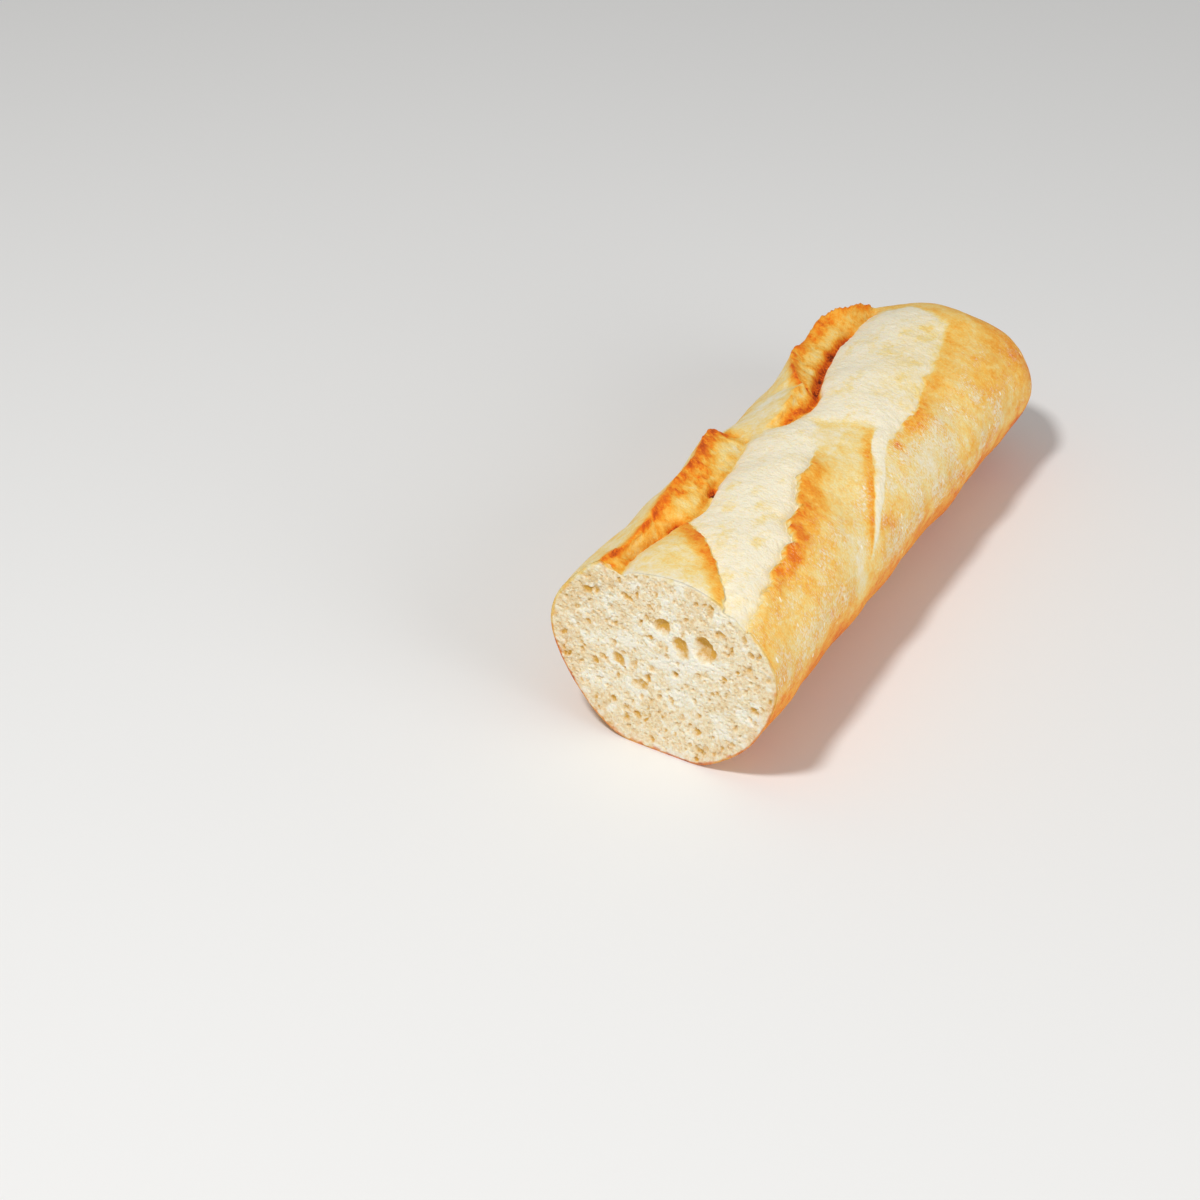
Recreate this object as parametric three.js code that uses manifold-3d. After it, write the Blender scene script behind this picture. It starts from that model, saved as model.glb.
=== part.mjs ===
// Half of a baguette, cut across and resting on its flat base.
// Millimetres, +Z up. The loaf lies along Y with its cut facing -Y and its round heel at +Y.
// A place on the crust is given as [y, s]: y is the distance from the cut, and s is the distance
// round the crust from the top centre line, positive on the +X side.
import * as THREE from 'three';
import { mergeVertices } from 'three/addons/utils/BufferGeometryUtils.js';
import Module from 'manifold-3d';

// Size of the loaf
const LENGTH = 209.9; // from the cut to the heel's tip
const CUT_HALF_WIDTH = 34.0;
const CUT_HEIGHT = 54.2;
const HEEL_HALF_WIDTH = 32.7; // the loaf tapers evenly towards the heel
const HEEL_HEIGHT = 46.5;
const HEEL_ROUNDING = 28.5; // length over which the heel closes
const HEEL_SQUARENESS = 2.3; // 2 is an ellipse, more is squarer
const HEEL_LIFT = 1.3; // over 1, the heel closes faster in height than in width
const WAIST = 0.565; // the widest place, as a share of the height
const POLE = 0.9; // height of the heel's tip, as a share of the waist's
const TOP_SQUARENESS = 2.05;
const BASE_SQUARENESS = 1.8;
const BASE_FLATTENING = 2.9; // how far the round underside is pressed flat
const BASE_ROUNDING = 1.6; // softness of the flat strip's long corners
const CUT_BIAS = THREE.MathUtils.degToRad(-5.5); // the cut runs slightly askew
const SIDEWAYS_BEND = -0.7;

// The two slashes. Each has a lifted flap of crust, the ear, whose torn wall drops from its crest
// to a crack: [y, s] for the crack and [y, s, height] for the crest.
const FRONT_CRACK = [[0, -13], [10, -15.5], [25, -12], [38, -8.5], [58, -11], [80, -14.5], [96, -19]];
const FRONT_CREST = [
  [-6, -20, 2], [4, -20, 2.6], [12, -19, 2], [25, -16.5, 4], [45, -18, 5], [60, -20, 5.6],
  [76, -23, 6.4], [81.5, -24, 6], [86.5, -25, 1.5], [98, -25, 0],
];
const REAR_CRACK = [
  [88, -11], [93, -9.6], [98, -7.8], [103, -7.2], [111, -7.4], [117, -8.2], [122, -11], [137, -16],
  [152, -18.5], [178, -20],
];
const REAR_CREST = [
  [88, -14, 0], [95, -11.8, 1.4], [104, -12, 2.8], [113, -13, 3.4], [117, -13.5, 3], [118.7, -15.5, 2.6],
  [120.5, -17.5, 4.8], [126, -20.5, 6], [141, -25, 5.7], [152, -26.5, 5.7], [163, -26, 7],
  [172, -24, 6.6], [180, -22.5, 4.2], [188, -21, 0],
];
const EAR_BACK = 12; // how far behind its crest the flap starts to lift
const EAR_HOLLOW = 0.3; // hollow of the torn wall, as a share of its height
const CRACK_DEPTH = 1.6;
const CRACK_WIDTH = 3; // the soft side's rise out of the crack

// The soft area that opened between the flaps and the crust on their right, as one outline in
// [y, s, lip, drop]: the crust's edge stands up by lip, and the soft area starts lower by drop.
const OPENED = [
  // edge of the crust left standing beside the cut
  [-6, 21, 0.8, 1.7], [8, 13, 0.8, 1.7], [20, 3, 0.8, 1.7], [31, -8, 0.4, 1],
  // foot of the front flap
  [38, -8.5, 0, 0], [58, -11, 0, 0], [80, -14.5, 0, 0],
  // foot of the rear flap
  [96, -8.4, 0, 0], [103, -7.2, 0, 0], [111, -7.4, 0, 0], [117, -8.2, 0, 0], [122, -11, 0, 0],
  [137, -16, 0, 0], [152, -18.5, 0, 0], [178, -20, 0, 0],
  // the rear slash's right side, from its end back to its tail
  [188, -9, 0.2, 0.6], [180, 7.5, 0.3, 0.8], [160, 13, 0.5, 1], [140, 16.5, 0.7, 1.3],
  [120, 20.5, 0.8, 1.4], [105, 20.8, 0.5, 0.8], [95.5, 23.6, 0.3, 0.5], [82, 31.2, 0.2, 0.4],
  [70, 36.6, 0.1, 0.3], [61, 41.5, 0, 0.2], [70, 34, 0.1, 0.3], [79.3, 28.2, 0.2, 0.4],
  // bridge of crust between the slashes
  [85, 24, 0.3, 0.5], [98, 16.6, 0.5, 0.7], [107.5, 13.4, 0.3, 0.5], [106.3, 8.6, 0.05, 0.15],
  [102.7, 3.8, 0.05, 0.15], [99.7, 1.4, 0.05, 0.2], [89, 5.2, 0.3, 0.4], [80.5, 8.4, 0.7, 0.8],
  // the front slash's right side
  [76, 9.2, 1.2, 1.2], [71, 10.2, 1.5, 1.5], [66.7, 9.6, 1.7, 1.6], [61.3, 12.8, 1.8, 1.6],
  [50, 16.6, 1.9, 1.6], [46.3, 15.8, 2, 1.6], [40, 20.6, 2, 1.6], [31.2, 21.2, 1.9, 1.5],
  [20, 23.4, 1.7, 1.4], [8, 26, 1.3, 1.1], [-6, 30, 1, 0.9],
];
const LIP_BACK = 5; // over this distance the raised edge sinks into the crust
const LIP_FRONT = 1; // over this distance it falls to the soft area
const LIP_RISE = 2; // over this distance the soft area rises out of its low edge
const BULGE = 1.1; // how far the soft area swells above the crust's own level
const BULGE_REACH = 6;

// Low swells of the crust: height, wavelengths along and round, and phase
const SWELLS = [[0.45, 61, 47, 0.6], [0.3, 37, 29, 2.1], [0.22, 23, 34, 4.4]];
const CALM_BASE = [0.5, 9]; // between these heights the relief dies away into the flat base

// Pores of the crumb, on the cut: [x, z, half width, half height, depth]
const PORES = [
  [12.8, 37, 3.2, 4.1, 3], [5.7, 35, 2.7, 3.6, 2], [0.3, 39.2, 2.8, 2.6, 1.8], [-6.4, 19, 2.8, 2.1, 1.3],
  [-13.1, 24.9, 2.5, 1.6, 1.5], [-20.1, 21.8, 1.3, 1.3, 1.1], [-14.7, 29.5, 1.3, 1.5, 1.2],
  [-6.9, 9.4, 1.3, 1.3, 1], [28.1, 23.2, 1, 1.8, 1.2], [3.2, 17.7, 0.9, 1.6, 1], [9.9, 20.4, 1, 1.3, 1],
  [10.9, 10.9, 1.2, 1, 1], [-10.9, 44.8, 2, 0.9, 1.2], [-22.6, 43.2, 1.6, 1, 1.2], [-22.4, 33.2, 1, 1, 1],
  [-14.6, 11.8, 1, 1.1, 1],
];
const SMALL_PORES = 20; // more of them, scattered between those
const SMALL_PORE_SIZE = [0.7, 1.2]; // half width, smallest and largest
const PORE_MARGIN = 3.5; // crumb left between a scattered pore and the crust
const PORE_SPACING = 4.2; // least distance between two scattered pores
const PORE_SEED = 11;

// Fineness of the mesh
const RINGS = 62; // along the loaf, as far as the heel
const HEEL_RINGS = 9;
const SECTION_STEPS = 240; // points on the curve from which a ring is drawn
const COLUMN_GAP = 1.4; // least distance between two lines that the columns follow
const CROWDING = 1.35; // over 1, the outer columns stand closer together next to the slashes

const CRUST = { color: 0xe6b877, roughness: 0.72, metalness: 0 };

const { clamp, lerp, smoothstep } = THREE.MathUtils;

// Value of a curve through points [y, ...values] at y, held beyond its ends.
function along(points, y, index = 1) {
  if (y <= points[0][0]) return points[0][index];
  for (let i = 1; i < points.length; i += 1) {
    const [before, after] = [points[i - 1], points[i]];
    if (y <= after[0]) {
      return lerp(before[index], after[index], (y - before[0]) / (after[0] - before[0]));
    }
  }
  return points[points.length - 1][index];
}

// How much of the full section is left at y: 1 along the loaf, 0 at the heel's tip.
function closing(y) {
  const into = clamp((y - LENGTH + HEEL_ROUNDING) / HEEL_ROUNDING, 0, 1);
  return (1 - into ** HEEL_SQUARENESS) ** (1 / HEEL_SQUARENESS);
}

// Height z held above the floor, rounded over the corner.
function softFloor(z) {
  return z > BASE_ROUNDING ? z : Math.max(0, z + BASE_ROUNDING) ** 2 / (4 * BASE_ROUNDING);
}

// A point of the smooth section at y, at an angle from the middle of the base over the +X side.
function sectionPoint(y, angle) {
  const share = clamp(y / LENGTH, 0, 1);
  const halfWidth = lerp(CUT_HALF_WIDTH, HEEL_HALF_WIDTH, share);
  const height = lerp(CUT_HEIGHT, HEEL_HEIGHT, share);
  const waist = WAIST * height;
  const squareness = Math.sin(angle) >= 0 ? TOP_SQUARENESS : BASE_SQUARENESS;
  const out = Math.abs(Math.cos(angle)) ** (2 / squareness) * Math.sign(Math.cos(angle));
  const up = Math.abs(Math.sin(angle)) ** (2 / squareness);
  const z = Math.sin(angle) >= 0
    ? waist + (height - waist) * up
    : softFloor(waist - (waist + BASE_FLATTENING) * up);
  const left = closing(y);
  const pole = POLE * waist;
  return new THREE.Vector2(halfWidth * left * out, pole + (z - pole) * left ** HEEL_LIFT);
}

// The section at y as a curve, with the distance round it at each point.
function section(y) {
  const points = [];
  const reach = [];
  for (let i = 0; i <= SECTION_STEPS; i += 1) {
    points.push(sectionPoint(y, -Math.PI / 2 + (2 * Math.PI * i) / SECTION_STEPS));
    reach.push(i === 0 ? 0 : reach[i - 1] + points[i].distanceTo(points[i - 1]));
  }
  return { points, reach, half: reach[SECTION_STEPS] / 2 };
}

// The point of a section at a share of the way round, and the outward direction there.
function onSection({ points, reach, half }, share) {
  const target = clamp(share, 0, 1) * 2 * half;
  let i = 1;
  while (i < SECTION_STEPS && reach[i] < target) i += 1;
  const [before, after] = [points[i - 1], points[i]];
  const point = before.clone().lerp(after, (target - reach[i - 1]) / (reach[i] - reach[i - 1]));
  const run = after.clone().sub(before).normalize();
  return { point, outward: new THREE.Vector2(run.y, -run.x) };
}

// Height of a flap at [y, s]: it lifts up to its crest, and its torn wall drops into the crack.
function flap(y, s, crest, crack) {
  const height = along(crest, y, 2);
  const top = along(crest, y);
  const foot = Math.max(along(crack, y), top + COLUMN_GAP);
  const depth = CRACK_DEPTH * smoothstep(height, 0, 2);
  if (s <= top) return height * clamp(1 - (top - s) / EAR_BACK, 0, 1) ** 2;
  if (s >= foot) return -depth * Math.exp(-(s - foot) / CRACK_WIDTH);
  const down = (s - top) / (foot - top);
  return lerp(height, -depth, down) - EAR_HOLLOW * height * down * (1 - down);
}

// Distance from [y, s] to the outline of the opened area, positive inside it, with the lip and
// the drop of the nearest place on it.
function edgeOfOpened(y, s) {
  let nearest = { distance: Infinity, lip: 0, drop: 0 };
  let inside = false;
  OPENED.forEach((a, i) => {
    const b = OPENED[(i + 1) % OPENED.length];
    const run = [b[0] - a[0], b[1] - a[1]];
    const part = clamp(((y - a[0]) * run[0] + (s - a[1]) * run[1]) / (run[0] ** 2 + run[1] ** 2), 0, 1);
    const distance = Math.hypot(y - a[0] - part * run[0], s - a[1] - part * run[1]);
    if (distance < nearest.distance) {
      nearest = { distance, lip: lerp(a[2], b[2], part), drop: lerp(a[3], b[3], part) };
    }
    if ((a[1] > s) !== (b[1] > s) && y < a[0] + (run[0] * (s - a[1])) / run[1]) inside = !inside;
  });
  return { ...nearest, distance: inside ? nearest.distance : -nearest.distance };
}

// Height of the opened area and of the lips round it.
function opened(y, s) {
  const { distance, lip, drop } = edgeOfOpened(y, s);
  if (distance < 0) return lip * Math.exp(distance / LIP_BACK);
  const rise = 1 - Math.exp(-distance / BULGE_REACH);
  const fall = (lip + drop) * Math.exp(-distance / LIP_FRONT);
  return fall - drop * Math.exp(-distance / LIP_RISE) + BULGE * rise;
}

function swells(y, s) {
  return SWELLS.reduce((sum, [height, alongY, round, phase]) => {
    const wave = Math.sin((2 * Math.PI * y) / alongY + phase) * Math.cos((2 * Math.PI * s) / round - phase);
    return sum + height * wave;
  }, 0);
}

// Lines that the mesh's columns follow at y, from the base over the +X side to the base again.
const RIGHT_OF_BRIDGE = [[0, 40], [45, 37], [70, 34], [85, 29], [105, 21], [120, 20.5], [140, 16.5],
  [160, 13], [180, 7.5], [LENGTH, 4]];
const RIGHT_LIP = [[0, 28], [10, 25], [24, 21], [40, 20.5], [47, 15.5], [58, 13], [71, 10.5], [82, 9],
  [90, 17], [98, 16], [108, 13], [122, 12], [LENGTH, -2]];
const MIDDLE = [[0, 17.5], [8, 12.5], [20, 2.5], [28, -4], [36, -4], [50, 1], [80, -1.5], [95, -1],
  [103, 3.5], [110, 5], [140, 0], [LENGTH, -7]];
const CRACKS = [...FRONT_CRACK.slice(0, -1), [88, -12], ...REAR_CRACK.slice(1), [LENGTH, -16]];
const CRESTS = [...FRONT_CREST.slice(1, -2), ...REAR_CREST.slice(1), [LENGTH, -20]];
// Cells between the base and the first line, between the lines, and back to the base
const CELLS = [15, 5, 4, 5, 2, 18];

// Shares of the way round at which the columns cross a ring.
function columnShares(y, half) {
  const squeeze = closing(y);
  const lines = [RIGHT_OF_BRIDGE, RIGHT_LIP, MIDDLE, CRACKS, CRESTS].map((line) => along(line, y));
  for (let i = 1; i < lines.length; i += 1) lines[i] = Math.min(lines[i], lines[i - 1] - COLUMN_GAP);
  const stops = [half, ...lines.map((s) => s * squeeze), -half];
  const shares = [];
  CELLS.forEach((cells, i) => {
    for (let j = 0; j < cells; j += 1) {
      let part = j / cells;
      if (i === 0) part = 1 - (1 - part) ** CROWDING;
      if (i === CELLS.length - 1) part **= CROWDING;
      shares.push((half - lerp(stops[i], stops[i + 1], part)) / (2 * half));
    }
  });
  return shares;
}

// One ring of the skin, as points in space.
function ring(y) {
  const curve = section(y);
  const squeeze = closing(y);
  const share = clamp(y / LENGTH, 0, 1);
  return columnShares(y, curve.half).map((round) => {
    const { point, outward } = onSection(curve, round);
    const s = (curve.half - round * 2 * curve.half) / Math.max(squeeze, 0.2);
    const calm = smoothstep(point.y, ...CALM_BASE);
    const top = flap(y, s, FRONT_CREST, FRONT_CRACK) + flap(y, s, REAR_CREST, REAR_CRACK) + opened(y, s);
    const relief = (top * squeeze + swells(y, s) * Math.min(1, 2 * squeeze)) * calm;
    const x = point.x + outward.x * relief;
    const askew = (1 - share) ** 3 * x * Math.tan(CUT_BIAS);
    const bend = SIDEWAYS_BEND * 4 * share * (1 - share);
    return new THREE.Vector3(x + bend, y + askew, point.y + outward.y * relief);
  });
}

// Distances from the cut at which the rings stand.
function ringPlaces() {
  const places = [];
  const straight = LENGTH - HEEL_ROUNDING;
  for (let i = 0; i < RINGS; i += 1) places.push((straight * i) / (RINGS - 1));
  for (let i = 1; i <= HEEL_RINGS; i += 1) {
    const angle = (Math.PI / 2) * (i / (HEEL_RINGS + 1));
    places.push(straight + HEEL_ROUNDING * Math.sin(angle) ** (2 / HEEL_SQUARENESS));
  }
  return places;
}

function geometryFrom(points, triangles) {
  const geometry = new THREE.BufferGeometry().setFromPoints(points);
  geometry.setIndex(triangles);
  return geometry;
}

// The loaf's whole skin: rings closed by the flat cut in front and by the heel's tip behind.
function loaf() {
  const rings = ringPlaces().map(ring);
  const columns = rings[0].length;
  const points = rings.flat();
  const triangles = [];
  for (let r = 0; r + 1 < rings.length; r += 1) {
    for (let c = 0; c < columns; c += 1) {
      const a = r * columns + c;
      const b = r * columns + ((c + 1) % columns);
      triangles.push(a, a + columns, b + columns, a, b + columns, b);
    }
  }
  const outline = rings[0].map((p) => new THREE.Vector2(p.x, p.z));
  THREE.ShapeUtils.triangulateShape(outline, []).forEach(([a, b, c]) => {
    triangles.push(a, b, c);
  });
  const tip = points.push(new THREE.Vector3(0, LENGTH, POLE * WAIST * HEEL_HEIGHT)) - 1;
  const last = (rings.length - 1) * columns;
  for (let c = 0; c < columns; c += 1) triangles.push(last + c, tip, last + ((c + 1) % columns));
  return geometryFrom(points, triangles);
}

// Repeatable random numbers from 0 to 1.
function seeded(seed) {
  let state = seed;
  return () => {
    state = (state * 16807) % 2147483647;
    return state / 2147483647;
  };
}

// The small pores: scattered over the crumb, clear of the crust and of each other.
function scatteredPores() {
  const random = seeded(PORE_SEED);
  const placed = [];
  while (placed.length < SMALL_PORES) {
    const angle = random() * 2 * Math.PI;
    const spread = Math.sqrt(random());
    const edge = sectionPoint(0, angle);
    const centre = new THREE.Vector2(0, WAIST * CUT_HEIGHT);
    const place = centre.clone().lerp(edge, spread * (1 - PORE_MARGIN / edge.distanceTo(centre)));
    const clear = [...PORES, ...placed].every(([x, z, width]) => (
      Math.hypot(place.x - x, place.y - z) > PORE_SPACING + width));
    const width = lerp(...SMALL_PORE_SIZE, random());
    const height = width * lerp(0.8, 1.3, random());
    if (clear) placed.push([place.x, place.y, width, height, width]);
  }
  return placed;
}

// One pore, a lumpy hollow that opens on the cut.
function pore([x, z, width, height, depth], number) {
  const random = seeded(PORE_SEED + 7 * number + 1);
  const hollow = solidReady(new THREE.IcosahedronGeometry(1, width > 2 ? 2 : 1));
  const places = hollow.getAttribute('position');
  for (let i = 0; i < places.count; i += 1) {
    const swell = lerp(0.88, 1.12, random());
    places.setXYZ(i, places.getX(i) * swell, places.getY(i) * swell, places.getZ(i) * swell);
  }
  hollow.scale(width, depth, height);
  hollow.rotateX(random() * 0.5);
  hollow.rotateZ(CUT_BIAS);
  hollow.translate(x, x * Math.tan(CUT_BIAS), z);
  return hollow;
}

// Keeps only the places of a geometry, with its shared corners merged.
function solidReady(geometry) {
  geometry.deleteAttribute('normal');
  geometry.deleteAttribute('uv');
  return mergeVertices(geometry);
}

// Cuts the pores into the loaf.
async function withPores(body, hollows) {
  const wasm = await Module();
  wasm.setup();
  const solid = (geometry) => new wasm.Manifold(new wasm.Mesh({
    numProp: 3,
    vertProperties: new Float32Array(geometry.getAttribute('position').array),
    triVerts: new Uint32Array(geometry.getIndex().array),
  }));
  const cut = hollows.reduce((rest, hollow) => rest.subtract(solid(hollow)), solid(body));
  const mesh = cut.getMesh();
  const geometry = new THREE.BufferGeometry();
  geometry.setAttribute('position', new THREE.BufferAttribute(mesh.vertProperties, 3));
  geometry.setIndex(new THREE.BufferAttribute(mesh.triVerts, 1));
  return geometry;
}

// Puts the origin under the middle of the loaf, on its base.
function standOnBase(geometry) {
  geometry.computeBoundingBox();
  const { min, max } = geometry.boundingBox;
  geometry.translate(-(min.x + max.x) / 2, -(min.y + max.y) / 2, -min.z);
  return geometry;
}

const hollows = [...PORES, ...scatteredPores()].map(pore);
const geometry = standOnBase(await withPores(solidReady(loaf()), hollows));
const halfBaguette = new THREE.Mesh(geometry, new THREE.MeshStandardMaterial(CRUST));
halfBaguette.name = 'half_baguette';

const part = new THREE.Group();
part.add(halfBaguette);
export default part;
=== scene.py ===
"""Half of a crusty baguette, cut across and lying on its flat base.

A place on the crust is (y, s) in millimetres: y is the distance from the cut, and s is the distance
round the crust from the top centre line, positive on the +X side. Meshes are worked out in
millimetres and written in metres.
"""
import functools
import itertools
import math
from collections import namedtuple

import bpy
import numpy as np
from bpy.props import FloatProperty, FloatVectorProperty, IntProperty, PointerProperty
from bpy.types import Operator, Panel, PropertyGroup
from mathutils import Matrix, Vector


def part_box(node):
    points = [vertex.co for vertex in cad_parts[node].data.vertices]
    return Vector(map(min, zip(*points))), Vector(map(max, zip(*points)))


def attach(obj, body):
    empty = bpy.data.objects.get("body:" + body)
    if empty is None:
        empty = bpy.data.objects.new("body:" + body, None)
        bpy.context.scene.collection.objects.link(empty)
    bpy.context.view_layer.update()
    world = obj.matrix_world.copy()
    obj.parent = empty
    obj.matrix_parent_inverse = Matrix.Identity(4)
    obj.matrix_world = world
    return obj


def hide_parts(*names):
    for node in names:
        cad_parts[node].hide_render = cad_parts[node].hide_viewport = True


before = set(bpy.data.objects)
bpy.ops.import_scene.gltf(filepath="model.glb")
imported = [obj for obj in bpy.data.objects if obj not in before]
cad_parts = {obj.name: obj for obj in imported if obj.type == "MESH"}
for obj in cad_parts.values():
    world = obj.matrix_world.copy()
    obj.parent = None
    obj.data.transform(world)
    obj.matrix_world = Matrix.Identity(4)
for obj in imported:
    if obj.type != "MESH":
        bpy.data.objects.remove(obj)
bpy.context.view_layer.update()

bl_info = {
    "name": "Half baguette",
    "version": (1, 0, 0),
    "blender": (4, 5, 0),
    "location": "3D View > Sidebar > Baguette",
    "description": "Builds the crust, the crumb and the blisters of a cut baguette round its frame",
    "category": "Object",
}

NODE = "half_baguette"
MM = 0.001

# Size of the loaf, in millimetres
LENGTH = 209.9
CUT_HALF_WIDTH = 34.0
CUT_HEIGHT = 54.2
HEEL_HALF_WIDTH = 32.7
HEEL_HEIGHT = 46.5
HEEL_ROUNDING = 28.5
HEEL_SQUARENESS = 2.3
HEEL_LIFT = 1.3
WAIST = 0.565  # height of the widest place, as a share of the loaf's height
POLE = 0.9  # height of the heel's tip, as a share of the waist's
TOP_SQUARENESS = 2.05
BASE_SQUARENESS = 1.8
BASE_FLATTENING = 2.9
BASE_ROUNDING = 1.6
CUT_BIAS = math.radians(-5.5)
SIDEWAYS_BEND = -0.7
SWELLS = [(0.45, 61, 47, 0.6), (0.3, 37, 29, 2.1), (0.22, 23, 34, 4.4)]  # height, lengths, phase
CALM_BASE = (0.5, 9)  # heights between which the relief of the crust comes in

# The two slashes: (y, s) of the crack at the foot of each ear, and (y, s, height) of its crest
FRONT_CRACK = [(0, -13), (10, -15.5), (25, -12), (38, -8.5), (58, -11), (80, -14.5), (96, -19)]
FRONT_CREST = [
    (-6, -20, 2), (4, -20, 2.6), (12, -19, 2), (25, -16.5, 4), (45, -18, 5), (60, -20, 5.6),
    (76, -23, 6.4), (81.5, -24, 6), (86.5, -25, 1.5), (98, -25, 0),
]
REAR_CRACK = [
    (88, -11), (93, -9.6), (98, -7.8), (103, -7.2), (111, -7.4), (117, -8.2), (122, -11), (137, -16),
    (152, -18.5), (178, -20),
]
REAR_CREST = [
    (88, -14, 0), (95, -11.8, 1.4), (104, -12, 2.8), (113, -13, 3.4), (117, -13.5, 3),
    (118.7, -15.5, 2.6), (120.5, -17.5, 4.8), (126, -20.5, 6), (141, -25, 5.7), (152, -26.5, 5.7),
    (163, -26, 7), (172, -24, 6.6), (180, -22.5, 4.2), (188, -21, 0),
]
# Brownness of the crest and the foot, stretch with an open crack darkened with painted shade, how even it
# is, pale front lobe
Ear = namedtuple("Ear", "crest crack crest_bake foot_bake open_from open_to even pale")
EARS = (
    Ear(FRONT_CREST, FRONT_CRACK, 0.78, 0.45, 9, 58, 0.3, 0),
    Ear(REAR_CREST, REAR_CRACK, 0.66, 0.42, 108, 168, 0.85, 1),
)
EAR_BACK = 12  # from the crest of an ear back to plain crust
EAR_HOLLOW = 0.3  # how far an ear's wall is hollowed, as a share of its height
EAR_CURL = 1.5  # how far the rim of an ear leans over its wall
LOBE_END = (115, 120)
NOTCH = (119.5, -13.5)  # between the two lobes of the rear ear
CRACK_DEPTH = 1.6
CRACK_WIDTH = 3
OPEN_CRACK_DEPTH = 2.0
LEAST_WALL = 1.4  # least width of an ear's torn wall


def foot_of_ear(crack):
    """Places of the opened area's outline along the foot of an ear, which has no lip there."""
    return [(y, s, 0, 0, 0, 2) for y, s in crack]


# Outline of the soft opened area: (y, s, lip, drop, scorch, reach of the scorch)
OPENED = [
    # edge of the crust left standing beside the cut
    (-6, 21, 0.8, 1.7, 0.2, 3), (8, 13, 0.8, 1.7, 0.36, 3.5), (20, 3, 0.8, 1.7, 0.4, 4),
    (31, -8, 0.4, 1, 0.42, 5),
    # feet of the front and the rear ear
    *foot_of_ear(FRONT_CRACK[3:6]), *foot_of_ear([(96, -8.4)] + REAR_CRACK[3:]),
    # the rear slash's right side, from its end back to its tail
    (188, -9, 0.1, 0.4, 0, 6), (180, 7.5, 0.1, 0.4, 0.12, 5), (160, 13, 0.2, 0.5, 0.16, 5),
    (140, 16.5, 0.5, 0.9, 0.19, 5), (120, 20.5, 0.8, 1.4, 0.22, 4), (105, 20.8, 0.5, 0.8, 0.02, 4),
    (95.5, 23.6, 0.3, 0.5, -0.08, 4), (82, 31.2, 0.2, 0.4, -0.08, 4), (70, 36.6, 0.1, 0.3, 0, 4),
    (61, 41.5, 0, 0.2, 0, 4), (70, 34, 0.1, 0.3, 0.2, 2.5), (79.3, 28.2, 0.2, 0.4, 0.2, 2.5),
    # bridge of crust between the slashes
    (85, 24, 0.3, 0.5, 0.26, 2.5), (98, 16.6, 0.5, 0.7, 0.26, 2.5), (107.5, 13.4, 0.3, 0.5, 0.04, 3),
    (106.3, 8.6, 0.05, 0.15, -0.06, 3), (102.7, 3.8, 0.05, 0.15, -0.06, 3), (99.7, 1.4, 0.05, 0.2, 0, 3),
    (89, 5.2, 0.3, 0.4, -0.02, 3), (80.5, 8.4, 0.7, 0.8, 0.12, 3),
    # the front slash's right side
    (76, 9.2, 1.2, 1.2, 0.3, 5.5), (71, 10.2, 1.5, 1.5, 0.32, 6), (66.7, 9.6, 1.7, 1.6, 0.36, 6.5),
    (61.3, 12.8, 1.8, 1.6, 0.34, 6.5), (50, 16.6, 1.9, 1.6, 0.34, 6.5), (46.3, 15.8, 2, 1.6, 0.38, 7),
    (43, 17.8, 2, 1.6, 0.36, 6), (40, 20.6, 2, 1.6, 0.32, 5), (31.2, 21.2, 1.9, 1.5, 0.27, 4.5),
    (20, 23.4, 1.7, 1.4, 0.2, 5), (8, 26, 1.3, 1.1, 0.08, 6), (-6, 30, 1, 0.9, 0.02, 6),
]
LIP_BACK = 5
LIP_FRONT = 0.55
LIP_RISE = 2
BULGE = 1.1
BULGE_REACH = 6

# Browner or paler patches of the crust: (y, s, half length, half width, amount); two pale ones are painted
# light
SPOTS_AND_PAINTED_LIGHT = [
    (6, -19, 5, 3, 0.12), (6, -14, 5, 3, 0.05), (45, 18.5, 1.8, 1, 0.2), (47, 13.5, 3, 2, 0.1),
    (78, 35, 3.5, 2.2, 0.22), (82, 37, 2, 1.5, 0.14), (106, 22.5, 1.6, 1.3, 0.32),
    # (57, 42) on this line is a painted highlight on the right flank.
    (183, 50, 3.5, 1.6, 0.3), (131, 44, 2, 4, 0.1), (96, 40, 10, 5, -0.06), (57, 42, 4, 9, -0.16),
    (112, 32, 12, 6, -0.16), (60, 34, 10, 5, -0.12), (172, 24, 10, 7, 0.05), (157, 29, 9, 6, 0.04),
    (120, -15, 2.5, 2.5, 0.2), (100, -11, 7, 2, 0.02), (101, -14.5, 6, 3, -0.07), (88, 14, 9, 6, 0.02),
    (93, 7, 7, 3, -0.09), (20, 1, 8, 6, 0.04), (195, 12, 10, 12, 0.09), (70, 26, 5, 4, -0.1),
    (28, 44, 9, 5, -0.08), (140, 32, 9, 5, -0.03), (190, 32, 8, 7, 0.09), (150, 46, 9, 4, 0.08),
    (52, 2, 3, 1.2, 0.1), (119.3, -12.3, 1.4, 2, 0.3), (118.4, -15, 1.2, 1.8, -0.3),
    # (108, -21) on this line is painted light: paler paint on a side that faces away from the key.
    (104, -8.5, 10, 1.6, 0.16), (108, -21, 10, 5, -0.2), (44, 11, 2.5, 1.4, 0.1),
    (75, 3, 3, 1.6, 0.12), (62, 6, 2.4, 1.3, 0.1), (103, 3, 3.5, 2, 0.05), (84, -6, 3, 4, 0.12),
    (92, -9, 4, 4, 0.12), (92, 2, 7, 1.5, 0.1), (150, 4, 10, 5, 0.08), (168, 2, 9, 5, 0.1),
    (132, 8, 8, 4, 0.06), (34, 2, 4, 2, 0.06),
]

# The cut face, in millimetres across and up from the middle of the base
CUT_MIDDLE = np.array([0.0, WAIST * CUT_HEIGHT])
PLUG_DEPTH = 7.0
PLUG_TAPER = 0.8
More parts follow.
